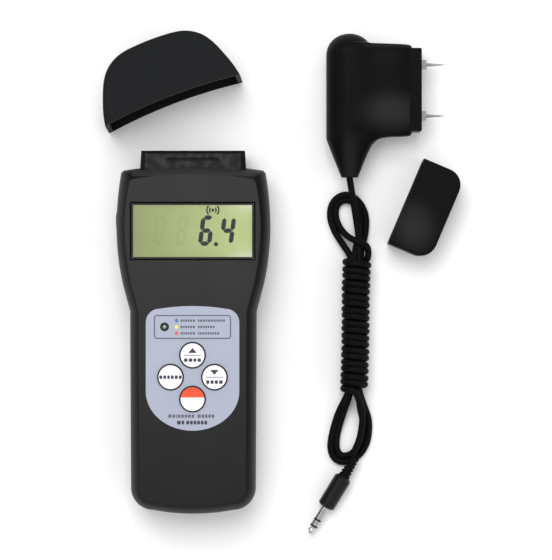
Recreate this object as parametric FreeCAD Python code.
import FreeCAD, Part
import math
import os

from FreeCAD import Vector

os.makedirs("parts", exist_ok=True)

# Handheld moisture meter with its sensor cap, its pin probe on a cord and the probe's cap.
# Everything lies flat on one surface, z = 0, in millimetres. The origin is the centre of the
# meter's back. +Y runs along the meter to its sensor, +Z out of its keys.

# --- meter housing
METER_LENGTH = 161.0
METER_DEPTH = 32.0
HEAD_WIDTH = 68.5
HEAD_TOP_WIDTH = 64.2
NECK_WIDTH = 56.3
HANDLE_END_WIDTH = 55.5
HANDLE_LENGTH = 90.0
FLARE_LENGTH = 12.0
FLARE_SPREAD = 3.2
HEAD_WIDEST = 126.5
END_CORNER = 10.0
END_ARCH = 1.7
TOP_CORNER = 1.1
TOP_ARCH = 2.5
SENSOR_REACH = 6.0
FLARE_BULGE = 0.72
HEAD_DRAW = 0.25
KEY_PROUD = 1.0
SPLIT_Z = 15.0
WALL = 2.2
FACE_WALL = 2.0
FRONT_FLANK = 4.8
REAR_FLANK = 4.0
FLANK_TURN = 65.0
FLANK_STEPS = 12
TOUCH = 0.02

BOTTOM_Y = -METER_LENGTH / 2
TIP_Y = METER_LENGTH / 2
TOP_Y = TIP_Y - SENSOR_REACH
NECK_Y = BOTTOM_Y + HANDLE_LENGTH
FACE_Z = METER_DEPTH - KEY_PROUD
FACE_INNER_Z = FACE_Z - FACE_WALL

# --- sensor block at the top end
SENSOR_WIDTH = 46.8
SENSOR_TIP_WIDTH = 45.8
SENSOR_LOW_Z = 4.0
SENSOR_HIGH_Z = 25.0
SENSOR_BEVEL = 1.3
SENSOR_SIDE_BEVEL = 2.2
SENSOR_DEEP = 13.0
SENSOR_WALL = 1.8
CATCH_WIDTH = 23.0
CATCH_HEIGHT = 2.0
CATCH_DEPTH = 0.6
CATCH_FROM_TIP = 3.3
ELECTRODE_THICK = 0.8
ELECTRODE_GAP = 6.0
ELECTRODE_SIDE_ROOM = 1.0
ELECTRODE_MARGIN = 3.0

# --- display
WINDOW_Y = 44.9
WINDOW_WIDTH = 54.3
WINDOW_HEIGHT = 24.8
WINDOW_LEDGE = 0.5
WINDOW_SUNK = 0.6
WINDOW_THICK = 1.0
WINDOW_FIT = 0.05
GLASS_THICK = 2.4
GLASS_FIT = 0.3
BEZEL_WALL = 1.4
BEZEL_FIT = 0.2
ZEBRA_WIDTH = 1.6
BACKLIGHT_THICK = 3.2

# --- circuit board and what stands on it
BOARD_DROP = 12.0
BOARD_Z = FACE_Z - BOARD_DROP
BOARD_THICK = 1.6
BOARD_TOP = BOARD_Z + BOARD_THICK
BOARD_HEAD_WIDTH = 54.0
BOARD_TAIL_WIDTH = 34.0
BOARD_HEAD_Y = 21.0
BOARD_LOW_Y = -37.5
BOARD_HIGH_Y = 60.0
BOARD_HOLE = 3.5
SWITCH_SIDE = 6.2
SWITCH_HEIGHT = 3.4
PLUNGER_RADIUS = 1.7
PLUNGER_HEIGHT = 0.6
CHIP_SIZES = ((12.0, 12.0, 1.4), (6.0, 5.0, 1.5), (8.0, 3.2, 2.4))
CHIP_PLACES = ((0.0, 46.0), (-14.0, 30.0), (15.0, 58.0))
BUZZER_RADIUS = 6.0
BUZZER_HEIGHT = 3.4
BUZZER_X = 14.0
BUZZER_Y = 6.0
BUZZER_HOLE = 1.0

# --- keypad: label, keys and indicator
LABEL_WIDTH = 41.1
LABEL_TOP_Y = 11.9
LABEL_LOW_Y = -42.9
LABEL_BOW = 17.3
LABEL_CORNER = 6.0
LABEL_ARCH = 1.2
LABEL_THICK = 0.4
KEYS_Y = -19.35
KEY_RADIUS = 5.6
KEY_GAP = 0.3
KEY_RIM = 1.0
KEY_RIM_GAP = 0.2235
KEYS_ARM = (KEY_RADIUS + KEY_RIM + KEY_RIM_GAP) * math.sqrt(2)
KEY_RIM_THICK = 1.0
KEY_RIM_DROP = 0.3
KEY_STEM = 2.0
KEY_EDGE = 0.4
KEY_TRAVEL = 0.6
KEY_REST_GAP = 0.1
LED_X = -12.3
LED_Y = 2.75
LED_RADIUS = 1.5
LED_FIT = 0.3
SCREW_ROOM = 0.3
LED_RIM = 0.4
LED_RIM_HEIGHT = 1.0

# --- batteries and their door
CELL_RADIUS = 5.25
CELL_LENGTH = 44.5
CELL_COUNT = 4
CELL_GAP = 0.3
CELL_NUB = 0.8
CELL_NUB_RADIUS = 1.9
BAY_SLACK = 0.6
BAY_WALL = 1.2
BAY_ROOF = 1.2
CONTACT_THICK = 0.4
CONTACT_WIDTH = 8.0
SPRING_LENGTH = 4.0
SPRING_WIDE = 3.7
SPRING_NARROW = 2.2
SPRING_BORE = 1.5
DOOR_THICK = 2.0
DOOR_FIT = 0.3
DOOR_END_MARGIN = 4.6
TONGUE = 1.0
TONGUE_THICK = 0.9
GRIP_RIBS = 4
GRIP_RIB_PITCH = 3.0
GRIP_RIB_LENGTH = 16.0
GRIP_RIB_DEPTH = 0.4
GRIP_RIB_WIDTH = 1.0

# --- case and board screws
POST_RADIUS = 3.0
REAR_POST_RADIUS = 4.2
SCREW_SHANK = 1.3
SCREW_HEAD = 2.7
SCREW_HEAD_THICK = 2.2
SCREW_SEAT_Z = 9.0
SCREW_BITE = 10.0
SCREW_SLOT = 0.6
SCREW_SLOT_REACH = 0.7
SCREW_END_ROOM = 1.0
HEAD_POST_X = 26.0
HEAD_POST_Y = 64.0
TAIL_POST_X = 21.5
TAIL_POST_GAP = 1.0
BOARD_SCREW_X = 22.0
BOARD_SCREW_Y = 25.5
BOARD_POST_RADIUS = 2.5
BOARD_SCREW_SHANK = 1.0
BOARD_SCREW_HEAD = 1.9
BOARD_SCREW_HEAD_THICK = 1.2

# --- the plug: an ordinary 3.5 mm three-pole plug
PLUG_RADIUS = 1.75
PLUG_PIN_LENGTH = 14.0
PLUG_BARREL_RADIUS = 3.875
PLUG_BARREL_LENGTH = 15.7
PLUG_CHAMFER = 0.8
PLUG_RING_LENGTH = 2.4
PLUG_TIP_LENGTH = 3.6
PLUG_INSULATOR = 0.8
PLUG_WAIST_RADIUS = 1.25
PLUG_SWELL_RADIUS = 1.65
PLUG_NOSE_RADIUS = 0.55
PLUG_NECK_LENGTH = 0.9
PLUG_SWELL_LENGTH = 1.1
PLUG_DIRECTION = Vector(-0.516, -0.856, -0.057).normalize()
PLUG_BARREL_END = Vector(58.9, -78.3, 4.0)
RELIEF_LENGTH = 10.2
RELIEF_RADIUS = 2.6
RELIEF_THIN = 1.9
RELIEF_SLOTS = 5
RELIEF_SLOT_WIDTH = 0.7
RELIEF_SLOT_DEPTH = 0.5

# --- socket for the plug, in the meter's left side
JACK_Y = 50.0
JACK_FIT = 0.04
JACK_BORE = PLUG_RADIUS + JACK_FIT
JACK_SLEEVE_WALL = 1.21
JACK_SLEEVE = JACK_BORE + JACK_SLEEVE_WALL
JACK_LENGTH = 13.5
JACK_BLOCK = (10.0, 9.0, 6.0)
JACK_DROP = 3.1
JACK_Z = BOARD_Z - JACK_DROP

# --- sensor cap, lying on its back
HOOD_WIDTH = HEAD_TOP_WIDTH
HOOD_HEIGHT = 31.4
HOOD_DEEP = 28.0
HOOD_TAPER = 15.0
HOOD_LEAN = 4.5
HOOD_WALL = 2.0
HOOD_SHAPE = ((1.0, 0.0), (0.96, 0.23), (0.89, 0.45), (0.70, 0.81), (0.48, 0.95), (0.22, 0.992), (0.0, 1.0))
HOOD_LIP_ARCH = 2.2
HOOD_EDGE = 2.0
HOOD_RIB = 1.6
HOOD_RIB_LENGTH = 9.0
HOOD_RIB_HIGH = 2.4
HOOD_RIB_GAP = 17.0
HOOD_TURN = 20.9
HOOD_X = -8.2
HOOD_Y = 100.6

# --- pin probe
GRIP_X = 69.5
GRIP_RADIUS = 10.4
GRIP_TOP_Y = 133.3
DOME_HEIGHT = 9.4
CONE_TOP_Y = 86.1
CONE_LOW_Y = 69.1
CONE_END_RADIUS = 3.65
CONE_END_THINNING = 0.6
NOSE_LOW_Y = 87.4
NOSE_HIGH_Y = 128.5
NOSE_END_X = 97.3
NOSE_THICK = 18.0
NOSE_EDGE = 2.0
WEB_HIGH_X = 78.5
WEB_LOW_X = 88.3
WEB_DROP = 5.4
WEB_SAG = 0.33
PROBE_WALL = 1.8
SLEEVE_WALL = 1.9
SEAT_FIT = 0.15
SEAT_INSET = SLEEVE_WALL + SEAT_FIT
SEAT_LENGTH = 4.2
SEAT_ROOT = 5.0
PIN_SPACING = 22.8
PIN_RADIUS = 0.9
PIN_REACH = 10.9
PIN_POINT = 7.5
PIN_ROOT = 8.0
PIN_TIP_RADIUS = 0.1
NUT_RADIUS = 2.45
NUT_LENGTH = 2.2
SOCKET_RADIUS = 2.4
LEAD_RADIUS = 0.6
LEAD_SPREAD = 4.0
LEAD_FOLD = 9.0
LEAD_GATHER = 0.2
GROMMET_RADIUS = 2.6
GROMMET_FLANGE = 3.4
GROMMET_LENGTH = 7.0
GROMMET_FLANGE_BACK = 2.0
GROMMET_FLANGE_THICK = 1.4
PROBE_SCREW_Y = (103.0, 125.5)
PROBE_POST = 2.4
PROBE_SCREW_SHANK = 1.0
PROBE_SCREW_HEAD = 1.9
PROBE_SCREW_SEAT = 4.0
PROBE_SCREW_GRIP = 1.6
PROBE_SCREW_BITE = GRIP_RADIUS - PROBE_SCREW_SEAT + PROBE_SCREW_GRIP

# --- probe cap, lying on its back
SLEEVE_DEEP = 20.0
SLEEVE_CORNER = 7.5
SLEEVE_TURN = -23.1
SLEEVE_X = 94.6
SLEEVE_Y = 58.5
SLEEVE_EDGE = 1.5

# --- cord
CORD_DIAMETER = 2.95
BEND_SHARE = 0.45
NECK_LAP = 3.0
LEAD_POINTS = (
    (69.5, 69.1, 10.4),
    (70.5, 63.0, 9.8),
    (71.8, 55.0, 8.6),
    (73.2, 46.5, 7.6),
    (73.9, 39.5, 7.2),
    (73.7, 33.6, 7.1),
)
TAIL_POINTS = (
    (73.4, -26.7, 7.1),
    (74.5, -34.0, 6.3),
    (75.2, -42.0, 5.9),
    (73.9, -49.5, 5.7),
)
WRAP_STATIONS = (
    (73.0, 33.6, 6.8),
    (72.4, 18.0, 6.6),
    (72.2, -8.0, 6.5),
    (71.6, -26.7, 6.5),
)
LOOP_THICK = 3.0
HIGH_LOOP = (
    (68.3, 36.0),
    (63.4, 42.0),
    (59.8, 50.9),
    (59.4, 55.8),
    (61.6, 61.2),
    (66.9, 63.6),
    (72.7, 61.2),
    (76.7, 56.3),
    (78.5, 50.0),
    (77.6, 43.8),
    (76.7, 36.0),
)
LOW_LOOP = (
    (65.6, -28.0),
    (64.3, -34.0),
    (61.6, -42.5),
    (59.4, -51.4),
    (60.7, -57.1),
    (66.9, -60.7),
    (74.0, -58.0),
    (78.9, -52.3),
    (80.3, -43.4),
    (80.3, -36.7),
    (77.8, -28.0),
)

UP = Vector(0, 0, 1)


def save(name, shape):
    """Write one sub-part, and say how big it came out."""
    clean = shape.removeSplitter()
    box = clean.BoundBox
    clean.exportStep("parts/" + name + ".step")
    print(f"{name:20s} solids {len(clean.Solids):2d} volume {clean.Volume:9.1f} "
          f"x {box.XMin:7.2f} {box.XMax:7.2f} y {box.YMin:7.2f} {box.YMax:7.2f} "
          f"z {box.ZMin:6.2f} {box.ZMax:6.2f} {'' if clean.isValid() else 'INVALID'}")


def block(x_low, x_high, y_low, y_high, z_low, z_high):
    """A box between two corners."""
    size = (x_high - x_low, y_high - y_low, z_high - z_low)
    return Part.makeBox(*size, Vector(x_low, y_low, z_low))


def centred(width, x, y_low, y_high, z_low, z_high):
    """A box of a given width in X, centred on x."""
    return block(x - width / 2, x + width / 2, y_low, y_high, z_low, z_high)


def rod(radius, length, start, axis=UP):
    """A round bar from start along axis."""
    return Part.makeCylinder(radius, length, start, axis)


def line(a, b):
    return Part.makeLine(Vector(*a), Vector(*b))


def arc(a, b, c):
    """A circular arc from a through b to c."""
    return Part.Arc(Vector(*a), Vector(*b), Vector(*c)).toShape()


def mirrored(half, middle):
    """Close a right-hand chain of edges with its left-hand twin and the edges that cross X = 0."""
    twins = [edge.mirror(Vector(0, 0, 0), Vector(1, 0, 0)) for edge in half]
    return Part.Wire(Part.__sortEdges__(half + twins + middle))


def bow(half_width, y, peak_y):
    """A shallow arc across X = 0 through (0, peak_y), ending at half_width either side."""
    return arc((-half_width, y, 0), (0, peak_y, 0), (half_width, y, 0))


def extruded(wire, z_low, z_high):
    """A solid from a flat wire drawn at z = 0."""
    face = Part.Face(wire)
    face.translate(Vector(0, 0, z_low))
    return face.extrude(Vector(0, 0, z_high - z_low))


def fused(shapes):
    """One shape from many that touch or overlap."""
    return shapes[0].multiFuse(shapes[1:])


def level_edges(shape, z):
    """The edges of a shape that lie flat at height z."""
    return [e for e in shape.Edges if abs(e.BoundBox.ZMin - z) < 1e-4 and abs(e.BoundBox.ZMax - z) < 1e-4]


# ---------------------------------------------------------------- meter housing


def housing_outline(inset):
    """The meter's outline, moved in by inset: a straight handle, a flared neck and a bowed head."""
    end = HANDLE_END_WIDTH / 2 - inset
    neck = NECK_WIDTH / 2 - inset
    head = HEAD_WIDTH / 2 - inset
    top = HEAD_TOP_WIDTH / 2 - inset
    flare = neck + FLARE_SPREAD
    corner = END_CORNER - inset
    corner_y = BOTTOM_Y + END_ARCH + inset
    slant = corner * math.sqrt(0.5)
    flare_y = NECK_Y + FLARE_LENGTH
    widest_y = BOTTOM_Y + HEAD_WIDEST
    side_y = TOP_Y - TOP_ARCH - TOP_CORNER - inset
    half = [
        arc((end - corner, corner_y, 0), (end - corner + slant, corner_y + corner - slant, 0),
            (end, corner_y + corner, 0)),
        line((end, corner_y + corner, 0), (neck, NECK_Y, 0)),
        line((neck, NECK_Y, 0), (flare, flare_y, 0)),
        arc((flare, flare_y, 0), (flare + (head - flare) * FLARE_BULGE, (flare_y + widest_y) / 2, 0),
            (head, widest_y, 0)),
        arc((head, widest_y, 0), (head - (head - top) * HEAD_DRAW, (widest_y + side_y) / 2, 0),
            (top, side_y, 0)),
        line((top, side_y, 0), (top - TOP_CORNER, side_y + TOP_CORNER, 0)),
    ]
    middle = [
        bow(end - corner, corner_y, BOTTOM_Y + inset),
        bow(top - TOP_CORNER, side_y + TOP_CORNER, TOP_Y - inset),
    ]
    return mirrored(half, middle)


def housing_half(face_z, flank, inset):
    """A solid from the joint plane to face_z whose side draws in by flank along part of an ellipse."""
    turn = math.radians(FLANK_TURN)
    wires = []
    for step in range(FLANK_STEPS + 1):
        angle = turn * step / FLANK_STEPS
        draw = inset + flank * (1 - math.cos(angle)) / (1 - math.cos(turn))
        height = SPLIT_Z + (face_z - SPLIT_Z) * math.sin(angle) / math.sin(turn)
        wire = housing_outline(draw)
        wire.translate(Vector(0, 0, height))
        wires.append(wire)
    return Part.makeLoft(wires, True, True)


def sensor_outer():
    """The sensor block's outer form, from inside the head to the meter's tip."""
    root = SENSOR_WIDTH / 2
    tip = SENSOR_TIP_WIDTH / 2
    low_y = TIP_Y - SENSOR_DEEP
    waist_y = TOP_Y - TOP_ARCH
    points = [(-root, low_y, 0), (root, low_y, 0), (root, waist_y, 0), (tip, TIP_Y, 0), (-tip, TIP_Y, 0),
              (-root, waist_y, 0), (-root, low_y, 0)]
    solid = extruded(Part.makePolygon([Vector(*p) for p in points]), SENSOR_LOW_Z, SENSOR_HIGH_Z)
    ends = [e for e in solid.Edges if e.BoundBox.YMin > TIP_Y - 1e-4 and e.BoundBox.ZLength < 1e-4]
    solid = solid.makeChamfer(SENSOR_BEVEL, ends)
    sides = [e for e in solid.Edges if e.BoundBox.YLength > SENSOR_BEVEL + 1 and e.BoundBox.ZLength < 1e-4]
    return solid.makeChamfer(SENSOR_SIDE_BEVEL, sides)


def head_posts():
    """Where the four case screws stand."""
    tail_y = bay_high_y() + BAY_WALL + TAIL_POST_GAP + REAR_POST_RADIUS
    spots = ((HEAD_POST_X, HEAD_POST_Y), (TAIL_POST_X, tail_y))
    return [(side * x, y) for x, y in spots for side in (-1, 1)]


def key_places():
    """Each key's name and centre: a cross of four."""
    return {
        "key_up": (0, KEYS_Y + KEYS_ARM),
        "key_select": (-KEYS_ARM, KEYS_Y),
        "key_down": (KEYS_ARM, KEYS_Y),
        "key_power": (0, KEYS_Y - KEYS_ARM),
    }


def label_outline():
    """The keypad label's outline: a gently arched top edge and a half-elliptical lower end."""
    side = LABEL_WIDTH / 2
    shoulder_y = LABEL_TOP_Y - LABEL_ARCH
    bow_y = LABEL_LOW_Y + LABEL_BOW
    slant = LABEL_CORNER * math.sqrt(0.5)
    ellipse = Part.Ellipse(Vector(0, bow_y, 0), side, LABEL_BOW)
    corner_x = side - LABEL_CORNER
    corner_y = shoulder_y - LABEL_CORNER
    half = [
        line((side, bow_y, 0), (side, corner_y, 0)),
        arc((side, corner_y, 0), (corner_x + slant, corner_y + slant, 0), (corner_x, shoulder_y, 0)),
    ]
    middle = [
        Part.ArcOfEllipse(ellipse, math.pi, 2 * math.pi).toShape(),
        bow(corner_x, shoulder_y, LABEL_TOP_Y),
    ]
    return mirrored(half, middle)


def screw(x, y, seat_z, head_radius, head_thick, shank_radius, bite, slot):
    """A pan-head screw driven upwards, with a cross slot in its head."""
    solid = rod(head_radius, head_thick, Vector(x, y, seat_z - head_thick)).fuse(
        rod(shank_radius, bite, Vector(x, y, seat_z - TOUCH)))
    low = seat_z - head_thick - TOUCH
    depth = head_thick / 2
    reach = head_radius * SCREW_SLOT_REACH
    solid = solid.cut(block(x - reach, x + reach, y - slot / 2, y + slot / 2, low, low + depth))
    return solid.cut(block(x - slot / 2, x + slot / 2, y - reach, y + reach, low, low + depth))


def make_front_cover():
    solid = housing_half(FACE_Z, FRONT_FLANK, 0).cut(housing_half(FACE_INNER_Z, FRONT_FLANK, WALL))
    posts = []
    for x, y in head_posts():
        posts.append(rod(POST_RADIUS, FACE_INNER_Z + TOUCH - SPLIT_Z, Vector(x, y, SPLIT_Z)))
    solid = fused([solid] + posts).common(housing_half(FACE_Z, FRONT_FLANK, 0))
    for x, y in head_posts():
        solid = solid.cut(rod(SCREW_SHANK, SCREW_BITE, Vector(x, y, SPLIT_Z - TOUCH)))
    for side in (-1, 1):
        post = rod(BOARD_POST_RADIUS, FACE_INNER_Z + TOUCH - BOARD_TOP,
                   Vector(side * BOARD_SCREW_X, BOARD_SCREW_Y, BOARD_TOP))
        solid = solid.fuse(post)
        solid = solid.cut(rod(BOARD_SCREW_SHANK, FACE_INNER_Z - BOARD_TOP,
                              Vector(side * BOARD_SCREW_X, BOARD_SCREW_Y, BOARD_TOP - TOUCH)))
    low = WINDOW_Y - WINDOW_HEIGHT / 2
    high = WINDOW_Y + WINDOW_HEIGHT / 2
    sill_z = FACE_Z - WINDOW_SUNK - WINDOW_THICK
    solid = solid.cut(centred(WINDOW_WIDTH, 0, low, high, SPLIT_Z + FACE_WALL, FACE_Z + 1))
    solid = solid.cut(centred(WINDOW_WIDTH + 2 * WINDOW_LEDGE, 0, low - WINDOW_LEDGE, high + WINDOW_LEDGE,
                              sill_z, FACE_Z + 1))
    solid = solid.cut(extruded(label_outline(), FACE_Z - LABEL_THICK, FACE_Z + 1))
    for x, y in key_places().values():
        solid = solid.cut(rod(KEY_RADIUS + KEY_GAP, FACE_WALL + 2, Vector(x, y, FACE_INNER_Z - 1)))
    solid = solid.cut(rod(LED_RADIUS + LED_FIT, FACE_WALL + 2, Vector(LED_X, LED_Y, FACE_INNER_Z - 1)))
    solid = solid.cut(sensor_outer())
    return solid.cut(jack_hole())


def jack_hole():
    """The round opening in the housing's left side for the socket's sleeve."""
    return rod(JACK_SLEEVE, HEAD_WIDTH, jack_root(), Vector(-1, 0, 0))


def jack_root():
    """The inner end of the socket's sleeve."""
    return Vector(JACK_LENGTH - HEAD_WIDTH / 2, JACK_Y, JACK_Z)


def bay_width():
    return CELL_COUNT * 2 * CELL_RADIUS + (CELL_COUNT - 1) * CELL_GAP + 2 * BAY_SLACK


def bay_low_y():
    return BOTTOM_Y + WALL + END_ARCH + DOOR_END_MARGIN


def bay_high_y():
    return bay_low_y() + CELL_LENGTH + CELL_NUB + SPRING_LENGTH + 2 * CONTACT_THICK


def bay_roof_z():
    return DOOR_THICK + DOOR_FIT + 2 * CELL_RADIUS + BAY_SLACK


def make_rear_cover():
    outer = housing_half(0, REAR_FLANK, 0)
    solid = outer.cut(housing_half(WALL, REAR_FLANK, WALL))
    floor_z = DOOR_THICK + DOOR_FIT
    wall_high = bay_high_y() + BAY_WALL
    tub = centred(bay_width() + 2 * BAY_WALL, 0, bay_low_y() - BAY_WALL, wall_high,
                  floor_z, bay_roof_z() + BAY_ROOF)
    tub = tub.cut(centred(bay_width(), 0, bay_low_y(), bay_high_y(), floor_z - 1, bay_roof_z()))
    posts = [rod(REAR_POST_RADIUS, SPLIT_Z, Vector(x, y, 0)) for x, y in head_posts()]
    solid = fused([solid, tub] + posts).common(outer)
    for x, y in head_posts():
        solid = solid.cut(rod(SCREW_HEAD + SCREW_ROOM, SCREW_SEAT_Z + 1, Vector(x, y, -1)))
        solid = solid.cut(rod(SCREW_SHANK, SPLIT_Z, Vector(x, y, SCREW_SEAT_Z - 1)))
    opening = bay_width() + 2 * DOOR_FIT
    door_top = bay_high_y() + DOOR_FIT
    solid = solid.cut(centred(opening, 0, BOTTOM_Y - 1, door_top, -1, floor_z))
    groove_low = DOOR_THICK - TONGUE_THICK - DOOR_FIT
    solid = solid.cut(centred(opening + 2 * TONGUE, 0, BOTTOM_Y - 1, door_top, groove_low, floor_z))
    solid = solid.cut(sensor_outer())
    return solid.cut(jack_hole())


def make_battery_cover():
    outer = housing_half(0, REAR_FLANK, 0)
    width = bay_width()
    door = outer.common(centred(width, 0, BOTTOM_Y - 1, bay_high_y(), -1, DOOR_THICK))
    tongue_low = BOTTOM_Y + END_ARCH + END_CORNER
    tongues = centred(width + 2 * TONGUE, 0, tongue_low, bay_high_y(), DOOR_THICK - TONGUE_THICK, DOOR_THICK)
    door = door.fuse(tongues)
    for step in range(GRIP_RIBS):
        y = tongue_low + GRIP_RIB_PITCH * step
        door = door.cut(centred(GRIP_RIB_LENGTH, 0, y, y + GRIP_RIB_WIDTH, -1, GRIP_RIB_DEPTH))
    return door


def cell_places():
    """Each cell's X, and the way its plus end points: they alternate."""
    pitch = 2 * CELL_RADIUS + CELL_GAP
    return [((i - (CELL_COUNT - 1) / 2) * pitch, 1 if i % 2 == 0 else -1) for i in range(CELL_COUNT)]


def cell_z():
    return DOOR_THICK + DOOR_FIT + CELL_RADIUS + BAY_SLACK / 2


def make_batteries():
    """Four cells side by side, each with its plus nub."""
    cells = []
    for x, way in cell_places():
        low = bay_low_y() + CONTACT_THICK + (SPRING_LENGTH if way > 0 else CELL_NUB)
        cell = rod(CELL_RADIUS, CELL_LENGTH, Vector(x, low, cell_z()), Vector(0, 1, 0))
        nub_y = low + CELL_LENGTH - TOUCH if way > 0 else low + TOUCH
        nub = rod(CELL_NUB_RADIUS, CELL_NUB + TOUCH, Vector(x, nub_y, cell_z()), Vector(0, way, 0))
        cells.append(cell.fuse(nub).removeSplitter())
    return Part.makeCompound(cells)


def make_battery_contacts():
    """A spring plate at each cell's two ends."""
    plates = []
    low_z = cell_z() - CONTACT_WIDTH / 2
    for x, _ in cell_places():
        for y in (bay_low_y(), bay_high_y() - CONTACT_THICK):
            plates.append(centred(CONTACT_WIDTH, x, y, y + CONTACT_THICK, low_z, low_z + CONTACT_WIDTH))
    return Part.makeCompound(plates)


def make_battery_springs():
    """A tapered spring at each cell's minus end, as a hollow cone."""
    springs = []
    for x, way in cell_places():
        base = bay_low_y() + CONTACT_THICK if way > 0 else bay_high_y() - CONTACT_THICK
        axis = Vector(0, way, 0)
        start = Vector(x, base, cell_z())
        cone = Part.makeCone(SPRING_WIDE, SPRING_NARROW, SPRING_LENGTH, start, axis)
        springs.append(cone.cut(rod(SPRING_BORE, SPRING_LENGTH, start, axis)))
    return Part.makeCompound(springs)


def make_case_screws():
    bite = SPLIT_Z - SCREW_SEAT_Z + SCREW_BITE - SCREW_END_ROOM
    screws = [screw(x, y, SCREW_SEAT_Z, SCREW_HEAD, SCREW_HEAD_THICK, SCREW_SHANK, bite, SCREW_SLOT)
              for x, y in head_posts()]
    return Part.makeCompound(screws)


def make_sensor_block():
    solid = sensor_outer()
    low_y = TIP_Y - SENSOR_DEEP
    inner = centred(SENSOR_TIP_WIDTH - 2 * SENSOR_WALL, 0, low_y - 1, TIP_Y - SENSOR_WALL,
                    SENSOR_LOW_Z + SENSOR_WALL, SENSOR_HIGH_Z - SENSOR_WALL)
    solid = solid.cut(inner)
    catch_y = TIP_Y - CATCH_FROM_TIP
    front = (SENSOR_HIGH_Z - CATCH_DEPTH, SENSOR_HIGH_Z + 1)
    rear = (SENSOR_LOW_Z - 1, SENSOR_LOW_Z + CATCH_DEPTH)
    for low, high in (front, rear):
        solid = solid.cut(centred(CATCH_WIDTH, 0, catch_y - CATCH_HEIGHT, catch_y, low, high))
    return solid


def make_sensor_plates():
    """Two flat electrodes behind the block's end wall."""
    width = (SENSOR_TIP_WIDTH - 2 * SENSOR_WALL - ELECTRODE_GAP) / 2 - ELECTRODE_SIDE_ROOM
    y = TIP_Y - SENSOR_WALL - ELECTRODE_THICK
    plates = []
    for side in (-1, 1):
        x = side * (ELECTRODE_GAP + width) / 2
        plates.append(centred(width, x, y, y + ELECTRODE_THICK, SENSOR_LOW_Z + ELECTRODE_MARGIN,
                              SENSOR_HIGH_Z - ELECTRODE_MARGIN))
    return Part.makeCompound(plates)


# ---------------------------------------------------------------- display


def make_display_window():
    low = WINDOW_Y - WINDOW_HEIGHT / 2 - WINDOW_LEDGE + WINDOW_FIT
    high = WINDOW_Y + WINDOW_HEIGHT / 2 + WINDOW_LEDGE - WINDOW_FIT
    top = FACE_Z - WINDOW_SUNK
    return centred(WINDOW_WIDTH + 2 * (WINDOW_LEDGE - WINDOW_FIT), 0, low, high, top - WINDOW_THICK, top)


def glass_top():
    return FACE_Z - WINDOW_SUNK - WINDOW_THICK - WINDOW_FIT


def make_display_glass():
    low = WINDOW_Y - WINDOW_HEIGHT / 2 + GLASS_FIT
    high = WINDOW_Y + WINDOW_HEIGHT / 2 - GLASS_FIT
    return centred(WINDOW_WIDTH - 2 * GLASS_FIT, 0, low, high, glass_top() - GLASS_THICK, glass_top())


def bezel_inner():
    """Half the height of the room inside the display's holder."""
    return WINDOW_HEIGHT / 2 - GLASS_FIT - BEZEL_FIT


def make_display_bezel():
    """The holder that stands on the board round the backlight and carries the glass."""
    top = glass_top() - GLASS_THICK
    half = bezel_inner()
    width = WINDOW_WIDTH - 2 * GLASS_FIT - 2 * BEZEL_WALL
    ring = centred(width + 2 * BEZEL_WALL, 0, WINDOW_Y - half - BEZEL_WALL, WINDOW_Y + half + BEZEL_WALL,
                   BOARD_TOP, top)
    return ring.cut(centred(width, 0, WINDOW_Y - half, WINDOW_Y + half, BOARD_TOP - 1, top + 1))


def make_zebra_strips():
    """Two rubber strips that join the glass to the board, one along each long edge."""
    half = bezel_inner()
    width = WINDOW_WIDTH - 2 * GLASS_FIT - 2 * BEZEL_WALL - 2 * BEZEL_FIT
    top = glass_top() - GLASS_THICK
    strips = []
    for y in (WINDOW_Y - half + BEZEL_FIT, WINDOW_Y + half - BEZEL_FIT - ZEBRA_WIDTH):
        strips.append(centred(width, 0, y, y + ZEBRA_WIDTH, BOARD_TOP, top))
    return Part.makeCompound(strips)


def make_backlight():
    half = bezel_inner() - 2 * BEZEL_FIT - ZEBRA_WIDTH
    width = WINDOW_WIDTH - 2 * GLASS_FIT - 2 * BEZEL_WALL - 2 * BEZEL_FIT
    top = glass_top() - GLASS_THICK
    return centred(width, 0, WINDOW_Y - half, WINDOW_Y + half, top - BACKLIGHT_THICK, top)


# ---------------------------------------------------------------- circuit board


def make_circuit_board():
    head = centred(BOARD_HEAD_WIDTH, 0, BOARD_HEAD_Y, BOARD_HIGH_Y, BOARD_Z, BOARD_TOP)
    tail = centred(BOARD_TAIL_WIDTH, 0, BOARD_LOW_Y, BOARD_HEAD_Y + TOUCH, BOARD_Z, BOARD_TOP)
    solid = head.fuse(tail)
    for x, y in head_posts():
        solid = solid.cut(rod(BOARD_HOLE, BOARD_THICK + 2, Vector(x, y, BOARD_Z - 1)))
    for side in (-1, 1):
        solid = solid.cut(rod(BOARD_SCREW_SHANK, BOARD_THICK + 2,
                              Vector(side * BOARD_SCREW_X, BOARD_SCREW_Y, BOARD_Z - 1)))
    return solid


def make_board_screws():
    bite = FACE_INNER_Z - BOARD_Z - SCREW_END_ROOM
    screws = [screw(side * BOARD_SCREW_X, BOARD_SCREW_Y, BOARD_Z, BOARD_SCREW_HEAD, BOARD_SCREW_HEAD_THICK,
                    BOARD_SCREW_SHANK, bite, SCREW_SLOT) for side in (-1, 1)]
    return Part.makeCompound(screws)


def make_key_switches():
    """A square switch under each key, with its round plunger."""
    switches = []
    for x, y in key_places().values():
        top = BOARD_TOP + SWITCH_HEIGHT
        body = centred(SWITCH_SIDE, x, y - SWITCH_SIDE / 2, y + SWITCH_SIDE / 2, BOARD_TOP, top)
        plunger = rod(PLUNGER_RADIUS, PLUNGER_HEIGHT + TOUCH, Vector(x, y, top - TOUCH))
        switches.append(body.fuse(plunger).removeSplitter())
    return Part.makeCompound(switches)


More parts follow.
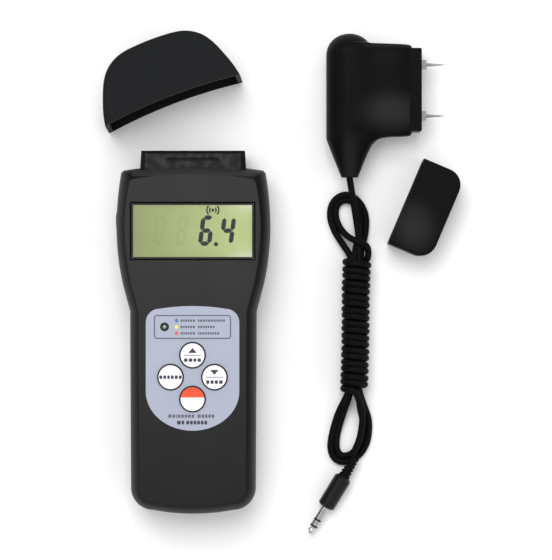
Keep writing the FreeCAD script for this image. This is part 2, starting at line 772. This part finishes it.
def make_circuit_chips():
    """The processor, a memory chip and a crystal under the board."""
    chips = []
    for (width, height, thick), (x, y) in zip(CHIP_SIZES, CHIP_PLACES):
        chips.append(centred(width, x, y - height / 2, y + height / 2, BOARD_Z - thick, BOARD_Z))
    return Part.makeCompound(chips)


def make_buzzer():
    solid = rod(BUZZER_RADIUS, BUZZER_HEIGHT, Vector(BUZZER_X, BUZZER_Y, BOARD_Z - BUZZER_HEIGHT))
    return solid.cut(rod(BUZZER_HOLE, BUZZER_HOLE, Vector(BUZZER_X, BUZZER_Y, BOARD_Z - BUZZER_HEIGHT)))


def make_indicator():
    """The round lamp, standing from the board to the face."""
    centre = Vector(LED_X, LED_Y, FACE_Z - LED_RADIUS)
    stem = rod(LED_RADIUS, centre.z - BOARD_TOP, Vector(LED_X, LED_Y, BOARD_TOP))
    foot = rod(LED_RADIUS + LED_RIM, LED_RIM_HEIGHT, Vector(LED_X, LED_Y, BOARD_TOP))
    return fused([stem, foot, Part.makeSphere(LED_RADIUS, centre)])


def make_probe_socket():
    """The socket: a sleeve through the housing's side, and its block inside."""
    root = jack_root()
    out = Vector(-1, 0, 0)
    length, width, height = JACK_BLOCK
    body = block(root.x - length, root.x + TOUCH, root.y - width / 2, root.y + width / 2,
                 root.z - height / 2, root.z + height / 2)
    socket = body.fuse(rod(JACK_SLEEVE, JACK_LENGTH, root, out))
    return socket.cut(rod(JACK_BORE, JACK_LENGTH, root, out))


# ---------------------------------------------------------------- keypad


def make_keypad_label():
    solid = extruded(label_outline(), FACE_Z - LABEL_THICK, FACE_Z)
    for x, y in key_places().values():
        solid = solid.cut(rod(KEY_RADIUS + KEY_GAP, FACE_WALL, Vector(x, y, FACE_INNER_Z)))
    return solid.cut(rod(LED_RADIUS + LED_FIT, FACE_WALL, Vector(LED_X, LED_Y, FACE_INNER_Z)))


def make_key(x, y):
    """A round key: its top stands in the label's hole, its rim under the face, its stem over the switch."""
    rim_top = FACE_INNER_Z - KEY_RIM_DROP
    stem_low = BOARD_TOP + SWITCH_HEIGHT + PLUNGER_HEIGHT + KEY_TRAVEL + KEY_REST_GAP
    top = rod(KEY_RADIUS, METER_DEPTH - rim_top + TOUCH, Vector(x, y, rim_top - TOUCH))
    top = top.makeFillet(KEY_EDGE, level_edges(top, METER_DEPTH))
    rim = rod(KEY_RADIUS + KEY_RIM, KEY_RIM_THICK, Vector(x, y, rim_top - KEY_RIM_THICK))
    stem = rod(KEY_STEM, rim_top - KEY_RIM_THICK + TOUCH - stem_low, Vector(x, y, stem_low))
    return fused([top, rim, stem])


# ---------------------------------------------------------------- sensor cap


def hood_outline(inset):
    """The D-shaped outline of the sensor cap, mouth on Y = 0, moved in by inset except at the mouth."""
    half_width = HOOD_WIDTH / 2 - inset
    height = HOOD_HEIGHT - inset
    right = [Vector(half_width * x, height * y, 0) for x, y in HOOD_SHAPE]
    left = [Vector(-p.x, p.y, 0) for p in reversed(right[:-1])]
    curve = Part.BSplineCurve()
    curve.interpolate(right + left)
    return Part.Wire([curve.toShape(), Part.makeLine(left[-1], right[0])])


def hood_lean():
    """How far the mouth's front lip stands back from its rear lip, lying on the tapered back."""
    return math.sin(math.radians(HOOD_LEAN)) * HOOD_DEEP


def hood_form(inset, mouth_reach):
    """The cap's tapered form: flat on its back, its front sloping down to the round end."""
    slope = math.tan(math.radians(HOOD_TAPER))
    lean = hood_lean()
    rise = inset / math.cos(math.radians(HOOD_TAPER))
    low = inset
    body = extruded(hood_outline(inset), low, HOOD_DEEP + 1)
    if mouth_reach > 0:
        mouth = HOOD_WIDTH - 2 * inset
        body = body.fuse(centred(mouth, 0, -mouth_reach, TOUCH, low, HOOD_DEEP + 1))
    far = HOOD_HEIGHT + 5
    near = -mouth_reach - 5
    roof = [(near, HOOD_DEEP - rise + (lean - near) * slope), (far, HOOD_DEEP - rise - (far - lean) * slope),
            (far, HOOD_DEEP * 3), (near, HOOD_DEEP * 3)]
    wedge = Part.Face(Part.makePolygon([Vector(-HOOD_WIDTH, y, z) for y, z in roof + roof[:1]]))
    return body.cut(wedge.extrude(Vector(2 * HOOD_WIDTH, 0, 0)))


def mouth_cut():
    """What the cap's leaning, arched mouth takes away."""
    half = HOOD_WIDTH / 2
    lower = [
        bow(half, 0, HOOD_LIP_ARCH),
        line((half, 0, 0), (half, -HOOD_DEEP, 0)),
        line((half, -HOOD_DEEP, 0), (-half, -HOOD_DEEP, 0)),
        line((-half, -HOOD_DEEP, 0), (-half, 0, 0)),
    ]
    face = Part.Face(Part.Wire(lower))
    lean = Vector(0, hood_lean(), HOOD_DEEP)
    face.translate(lean * -1)
    return face.extrude(lean * 3)


def make_sensor_cap():
    outer = hood_form(0, 0)
    rims = [e for e in outer.Edges if e.BoundBox.XLength > 2 and e.BoundBox.YMax > HOOD_HEIGHT / 2]
    outer = outer.makeFillet(HOOD_EDGE, rims)
    inner = hood_form(HOOD_WALL, HOOD_WALL)
    solid = outer.cut(inner)
    for side in (-1, 1):
        x = side * HOOD_RIB_GAP / 2
        rib = centred(HOOD_RIB, x, HOOD_HEIGHT - HOOD_WALL - HOOD_RIB_LENGTH, HOOD_HEIGHT - HOOD_WALL / 2,
                      HOOD_WALL - TOUCH, HOOD_WALL + HOOD_RIB_HIGH)
        solid = solid.fuse(rib)
    solid = solid.cut(mouth_cut())
    return placed(solid, HOOD_X, HOOD_Y, HOOD_TURN)


def placed(shape, x, y, turn):
    """A copy of a shape turned about Z and moved to x, y."""
    copy = shape.copy()
    copy.Placement = FreeCAD.Placement(Vector(x, y, 0), FreeCAD.Rotation(UP, turn))
    return copy


# ---------------------------------------------------------------- pin probe


def grip_form(inset):
    """The round grip, domed at the top and drawn in to a cone where the cord leaves."""
    radius = GRIP_RADIUS - inset
    top = GRIP_TOP_Y - inset
    dome_y = GRIP_TOP_Y - DOME_HEIGHT
    low = CONE_LOW_Y + inset
    end = CONE_END_RADIUS - inset * CONE_END_THINNING
    slant = math.sqrt(0.5)
    side = [
        arc((0, top, 0), (radius * slant, dome_y + (top - dome_y) * slant, 0), (radius, dome_y, 0)),
        line((radius, dome_y, 0), (radius, CONE_TOP_Y, 0)),
        line((radius, CONE_TOP_Y, 0), (end, low, 0)),
        line((end, low, 0), (0, low, 0)),
        line((0, low, 0), (0, top, 0)),
    ]
    solid = Part.Face(Part.Wire(side)).revolve(Vector(0, 0, 0), Vector(0, 1, 0), 360)
    solid.translate(Vector(GRIP_X, 0, GRIP_RADIUS))
    return solid


def nose_form(inset):
    """The flat nose with the two hollow curves that lead it into the grip."""
    low = NOSE_LOW_Y + inset
    high = NOSE_HIGH_Y - inset
    end = NOSE_END_X - inset
    web_low = (WEB_HIGH_X, low - WEB_DROP, 0)
    web_middle = (WEB_HIGH_X + (WEB_LOW_X - WEB_HIGH_X) * WEB_SAG, low - WEB_DROP * WEB_SAG, 0)
    outline = [
        line((GRIP_X, low - WEB_DROP, 0), (GRIP_X, high, 0)),
        line((GRIP_X, high, 0), (end, high, 0)),
        line((end, high, 0), (end, low, 0)),
        line((end, low, 0), (WEB_LOW_X, low, 0)),
        arc((WEB_LOW_X, low, 0), web_middle, web_low),
        line(web_low, (GRIP_X, low - WEB_DROP, 0)),
    ]
    half = NOSE_THICK / 2 - inset
    solid = extruded(Part.Wire(outline), GRIP_RADIUS - half, GRIP_RADIUS + half)
    if inset == 0:
        edges = level_edges(solid, GRIP_RADIUS + half) + level_edges(solid, GRIP_RADIUS - half)
        rims = [e for e in edges if e.BoundBox.XMax > GRIP_X + 1 and e.BoundBox.YMax > NOSE_LOW_Y]
        solid = solid.makeFillet(NOSE_EDGE, rims)
    return solid


def pin_places():
    """The Y of each needle: either side of the nose's middle."""
    middle = (NOSE_LOW_Y + NOSE_HIGH_Y) / 2
    return (middle - PIN_SPACING / 2, middle + PIN_SPACING / 2)


def seat_form():
    """The nose block that the needles stand in: its end is the seat of the probe's cap."""
    root = NOSE_END_X - SEAT_ROOT
    end = NOSE_END_X + SEAT_LENGTH
    half = NOSE_THICK / 2 - SEAT_INSET
    return block(root, end, NOSE_LOW_Y + SEAT_INSET, NOSE_HIGH_Y - SEAT_INSET,
                 GRIP_RADIUS - half, GRIP_RADIUS + half)


def probe_shell(upper):
    """One half of the probe's handle, with its screw posts."""
    outer = grip_form(0).fuse(nose_form(0))
    inner = grip_form(PROBE_WALL).fuse(nose_form(PROBE_WALL))
    solid = outer.cut(inner)
    posts = [rod(PROBE_POST, 2 * GRIP_RADIUS, Vector(GRIP_X, y, 0)) for y in PROBE_SCREW_Y]
    solid = fused([solid] + [post.common(outer) for post in posts])
    solid = solid.cut(seat_form()).cut(make_cord_grommet())
    for y in PROBE_SCREW_Y:
        solid = solid.cut(rod(PROBE_SCREW_SHANK, PROBE_SCREW_BITE + TOUCH,
                              Vector(GRIP_X, y, PROBE_SCREW_SEAT)))
        solid = solid.cut(rod(PROBE_SCREW_HEAD + SCREW_ROOM, PROBE_SCREW_SEAT + 1, Vector(GRIP_X, y, -1)))
    low = GRIP_RADIUS if upper else -1
    high = 3 * GRIP_RADIUS if upper else GRIP_RADIUS
    half = block(GRIP_X - 2 * GRIP_RADIUS, NOSE_END_X + 1, CONE_LOW_Y - 1, GRIP_TOP_Y + 1, low, high)
    return solid.common(half)


def make_probe_screws():
    screws = [screw(GRIP_X, y, PROBE_SCREW_SEAT, PROBE_SCREW_HEAD, BOARD_SCREW_HEAD_THICK, PROBE_SCREW_SHANK,
                    PROBE_SCREW_BITE, SCREW_SLOT) for y in PROBE_SCREW_Y]
    return Part.makeCompound(screws)


def make_probe_nose():
    solid = seat_form()
    tip = NOSE_END_X + SEAT_LENGTH
    edges = [e for e in solid.Edges if e.BoundBox.XMin > tip - 1e-4]
    solid = solid.makeFillet(SLEEVE_EDGE / 2, edges)
    for y in pin_places():
        solid = solid.cut(rod(SOCKET_RADIUS, SEAT_ROOT + SEAT_LENGTH + 2,
                              Vector(NOSE_END_X - SEAT_ROOT - 1, y, GRIP_RADIUS), Vector(1, 0, 0)))
    return solid


def make_pin_sockets():
    """Two brass sockets through the nose block."""
    sockets = []
    for y in pin_places():
        start = Vector(NOSE_END_X - SEAT_ROOT - 1, y, GRIP_RADIUS)
        length = SEAT_ROOT + SEAT_LENGTH + 1
        sleeve = rod(SOCKET_RADIUS, length, start, Vector(1, 0, 0))
        sockets.append(sleeve.cut(rod(PIN_RADIUS, length, start, Vector(1, 0, 0))))
    return Part.makeCompound(sockets)


def make_needle_pins():
    """Two round needles, each drawn to a point."""
    needles = []
    for y in pin_places():
        start = Vector(NOSE_END_X + SEAT_LENGTH - PIN_ROOT, y, GRIP_RADIUS)
        straight = PIN_ROOT + PIN_REACH - PIN_POINT
        needle = rod(PIN_RADIUS, straight, start, Vector(1, 0, 0))
        point = Part.makeCone(PIN_RADIUS, PIN_TIP_RADIUS, PIN_POINT, start + Vector(straight, 0, 0),
                              Vector(1, 0, 0))
        needles.append(needle.fuse(point))
    return Part.makeCompound(needles)


def make_pin_nuts():
    """The six-sided nuts that clamp the needles."""
    nuts = []
    seat_x = NOSE_END_X + SEAT_LENGTH
    for y in pin_places():
        corners = []
        for step in range(7):
            angle = math.radians(60 * step + 30)
            corners.append(Vector(seat_x, y + NUT_RADIUS * math.cos(angle),
                                  GRIP_RADIUS + NUT_RADIUS * math.sin(angle)))
        nut = Part.Face(Part.makePolygon(corners)).extrude(Vector(NUT_LENGTH, 0, 0))
        nuts.append(nut.cut(rod(PIN_RADIUS, NUT_LENGTH, Vector(seat_x, y, GRIP_RADIUS), Vector(1, 0, 0))))
    return Part.makeCompound(nuts)


def make_probe_leads():
    """The two inner wires, from the needles' sockets to the cord."""
    wires = []
    start_x = NOSE_END_X - SEAT_ROOT - 1
    for y, x in zip(pin_places(), (GRIP_X + LEAD_SPREAD, GRIP_X - LEAD_SPREAD)):
        inner_y = CONE_LOW_Y + GROMMET_LENGTH
        route = [(start_x, y, GRIP_RADIUS), (x, y, GRIP_RADIUS), (x, inner_y + LEAD_FOLD, GRIP_RADIUS),
                 (GRIP_X + (x - GRIP_X) * LEAD_GATHER, inner_y + LEAD_RADIUS, GRIP_RADIUS)]
        wires.append(tube(route, 2 * LEAD_RADIUS)[0])
    return Part.makeCompound(wires)


def make_cord_grommet():
    """The ring that lines the cone's end, with a flange inside the handle."""
    start = Vector(GRIP_X, CONE_LOW_Y, GRIP_RADIUS)
    sleeve = rod(GROMMET_RADIUS, GROMMET_LENGTH, start, Vector(0, 1, 0))
    flange_y = CONE_LOW_Y + GROMMET_LENGTH - GROMMET_FLANGE_BACK
    flange_start = Vector(GRIP_X, flange_y, GRIP_RADIUS)
    flange = rod(GROMMET_FLANGE, GROMMET_FLANGE_THICK, flange_start, Vector(0, 1, 0))
    return sleeve.fuse(flange)


# ---------------------------------------------------------------- probe cap


def sleeve_form(inset, mouth_reach):
    """The probe cap's form: a flat box, mouth on X = 0, with two round far corners."""
    half = (NOSE_HIGH_Y - NOSE_LOW_Y) / 2 - inset
    end = SLEEVE_DEEP - inset
    corner = SLEEVE_CORNER - inset
    slant = corner * (1 - math.sqrt(0.5))
    outline = [
        line((-mouth_reach, -half, 0), (end - corner, -half, 0)),
        arc((end - corner, -half, 0), (end - slant, -half + slant, 0), (end, -half + corner, 0)),
        line((end, -half + corner, 0), (end, half - corner, 0)),
        arc((end, half - corner, 0), (end - slant, half - slant, 0), (end - corner, half, 0)),
        line((end - corner, half, 0), (-mouth_reach, half, 0)),
        line((-mouth_reach, half, 0), (-mouth_reach, -half, 0)),
    ]
    return extruded(Part.Wire(outline), inset, NOSE_THICK - inset)


def make_probe_cap():
    outer = sleeve_form(0, 0)
    edges = level_edges(outer, 0) + level_edges(outer, NOSE_THICK)
    outer = outer.makeFillet(SLEEVE_EDGE, [e for e in edges if e.BoundBox.XMax > 1e-3])
    solid = outer.cut(sleeve_form(SLEEVE_WALL, 5))
    return placed(solid, SLEEVE_X, SLEEVE_Y, SLEEVE_TURN)


# ---------------------------------------------------------------- cord and plug


def tube(points, diameter):
    """A round tube on straight runs joined by tangent arcs, with its length and its radii."""
    route = [Vector(*p) for p in points]
    edges = []
    radii = []
    here = route[0]
    for before, corner, after in zip(route, route[1:], route[2:]):
        inward = (corner - before).normalize()
        onward = (after - corner).normalize()
        turn = inward.getAngle(onward)
        reach = BEND_SHARE * min((corner - before).Length, (after - corner).Length)
        radius = reach / math.tan(turn / 2)
        first = corner - inward * reach
        last = corner + onward * reach
        bisector = (onward - inward).normalize()
        middle = corner + bisector * (radius / math.cos(turn / 2) - radius)
        edges.append(Part.makeLine(here, first))
        edges.append(Part.Arc(first, middle, last).toShape())
        here = last
        radii.append(radius)
    edges.append(Part.makeLine(here, route[-1]))
    path = Part.Wire(edges)
    start = (route[1] - route[0]).normalize()
    ring = Part.Wire(Part.makeCircle(diameter / 2, route[0], start))
    solid = path.makePipeShell([ring], True, True)
    return solid, path.Length, radii


def make_tube(name, points):
    """A stretch of the cord, with its radii and its volume beside section times length."""
    solid, length, radii = tube(points, CORD_DIAMETER)
    section = math.pi * CORD_DIAMETER ** 2 / 4
    print(name, "length", round(length, 1), "volume", round(solid.Volume, 1), "section x length",
          round(section * length, 1), "radii", [round(r, 1) for r in radii])
    return solid


def loop_slab(points):
    """A flat slab on the floor inside a smooth closed outline."""
    curve = Part.BSplineCurve()
    curve.interpolate([Vector(x, y, 0) for x, y in points], PeriodicFlag=True)
    return extruded(Part.Wire(curve.toShape()), 0, LOOP_THICK)


def make_cord_hank():
    """The folded and wrapped cord: a round wrap with a flat loop at each end."""
    rings = []
    for x, y, radius in WRAP_STATIONS:
        rings.append(Part.Wire(Part.makeCircle(radius, Vector(x, y, radius), Vector(0, 1, 0))))
    wrap = Part.makeLoft(rings, True, True)
    first = WRAP_STATIONS[0]
    last = WRAP_STATIONS[-1]
    necks = [
        centred(first[2], first[0], first[1] - 1, HIGH_LOOP[0][1] + NECK_LAP, 0, LOOP_THICK),
        centred(last[2], last[0], LOW_LOOP[0][1] - NECK_LAP, last[1] + 1, 0, LOOP_THICK),
    ]
    return fused([wrap, loop_slab(HIGH_LOOP), loop_slab(LOW_LOOP)] + necks)


def plug_point(distance):
    """A point on the plug's axis, measured from the barrel's front end towards the pin's tip."""
    return PLUG_BARREL_END + PLUG_DIRECTION * distance


def make_plug_barrel():
    back = plug_point(-PLUG_BARREL_LENGTH)
    barrel = rod(PLUG_BARREL_RADIUS, PLUG_BARREL_LENGTH, back, PLUG_DIRECTION)
    rims = [e for e in barrel.Edges if e.Curve.TypeId == "Part::GeomCircle"]
    return barrel.makeChamfer(PLUG_CHAMFER, rims)


def make_plug_relief():
    """The ribbed strain relief, thinner towards the cord."""
    start = plug_point(-PLUG_BARREL_LENGTH - RELIEF_LENGTH)
    solid = Part.makeCone(RELIEF_THIN, RELIEF_RADIUS, RELIEF_LENGTH, start, PLUG_DIRECTION)
    pitch = RELIEF_LENGTH / (RELIEF_SLOTS + 1)
    for step in range(1, RELIEF_SLOTS + 1):
        distance = pitch * step
        radius = RELIEF_THIN + (RELIEF_RADIUS - RELIEF_THIN) * distance / RELIEF_LENGTH
        place = start + PLUG_DIRECTION * (distance - RELIEF_SLOT_WIDTH / 2)
        ring = rod(radius + 1, RELIEF_SLOT_WIDTH, place, PLUG_DIRECTION)
        core = rod(radius - RELIEF_SLOT_DEPTH, RELIEF_SLOT_WIDTH, place, PLUG_DIRECTION)
        solid = solid.cut(ring.cut(core))
    return solid


def plug_lengths():
    """Where the sleeve, ring and tip contacts and the two insulators start and end on the pin."""
    tip_start = PLUG_PIN_LENGTH - PLUG_TIP_LENGTH
    ring_end = tip_start - PLUG_INSULATOR
    ring_start = ring_end - PLUG_RING_LENGTH
    return ring_start - PLUG_INSULATOR, ring_start, ring_end, tip_start


def make_plug_contacts():
    """Sleeve, ring and tip: three separate metal pieces on one axis."""
    sleeve_end, ring_start, ring_end, tip_start = plug_lengths()
    sleeve = rod(PLUG_RADIUS, sleeve_end, plug_point(0), PLUG_DIRECTION)
    ring = rod(PLUG_RADIUS, ring_end - ring_start, plug_point(ring_start), PLUG_DIRECTION)
    waist = tip_start + PLUG_NECK_LENGTH
    swelling = waist + PLUG_SWELL_LENGTH
    neck = Part.makeCone(PLUG_RADIUS, PLUG_WAIST_RADIUS, PLUG_NECK_LENGTH, plug_point(tip_start),
                         PLUG_DIRECTION)
    swell = Part.makeCone(PLUG_WAIST_RADIUS, PLUG_SWELL_RADIUS, PLUG_SWELL_LENGTH, plug_point(waist),
                          PLUG_DIRECTION)
    nose = Part.makeCone(PLUG_SWELL_RADIUS, PLUG_NOSE_RADIUS, PLUG_PIN_LENGTH - swelling,
                         plug_point(swelling), PLUG_DIRECTION)
    return Part.makeCompound([sleeve, ring, fused([neck, swell, nose])])


def make_plug_insulators():
    """The two black rings between the contacts."""
    sleeve_end, ring_start, ring_end, tip_start = plug_lengths()
    first = rod(PLUG_RADIUS, ring_start - sleeve_end, plug_point(sleeve_end), PLUG_DIRECTION)
    second = rod(PLUG_RADIUS, tip_start - ring_end, plug_point(ring_end), PLUG_DIRECTION)
    return Part.makeCompound([first, second])


def tail_points():
    """The cord from the hank to the strain relief."""
    end = plug_point(-PLUG_BARREL_LENGTH - RELIEF_LENGTH)
    return TAIL_POINTS + ((end.x, end.y, end.z),)


save("front_cover", make_front_cover())
save("rear_cover", make_rear_cover())
save("battery_cover", make_battery_cover())
save("batteries", make_batteries())
save("battery_contacts", make_battery_contacts())
save("battery_springs", make_battery_springs())
save("case_screws", make_case_screws())
save("sensor_block", make_sensor_block())
save("sensor_plates", make_sensor_plates())
save("display_window", make_display_window())
save("display_glass", make_display_glass())
save("display_bezel", make_display_bezel())
save("display_backlight", make_backlight())
save("zebra_strips", make_zebra_strips())
save("circuit_board", make_circuit_board())
save("board_screws", make_board_screws())
save("circuit_chips", make_circuit_chips())
save("key_switches", make_key_switches())
save("buzzer", make_buzzer())
save("indicator_lamp", make_indicator())
save("probe_socket", make_probe_socket())
save("keypad_label", make_keypad_label())
for key_name, (key_x, key_y) in key_places().items():
    save(key_name, make_key(key_x, key_y))
save("sensor_cap", make_sensor_cap())
save("probe_upper_shell", probe_shell(True))
save("probe_lower_shell", probe_shell(False))
save("probe_screws", make_probe_screws())
save("probe_nose", make_probe_nose())
save("pin_sockets", make_pin_sockets())
save("needle_pins", make_needle_pins())
save("pin_nuts", make_pin_nuts())
save("probe_leads", make_probe_leads())
save("cord_grommet", make_cord_grommet())
save("probe_cap", make_probe_cap())
save("cord_lead", make_tube("cord_lead", LEAD_POINTS))
save("cord_hank", make_cord_hank())
save("cord_tail", make_tube("cord_tail", tail_points()))
save("plug_relief", make_plug_relief())
save("plug_barrel", make_plug_barrel())
save("plug_contacts", make_plug_contacts())
save("plug_insulators", make_plug_insulators())
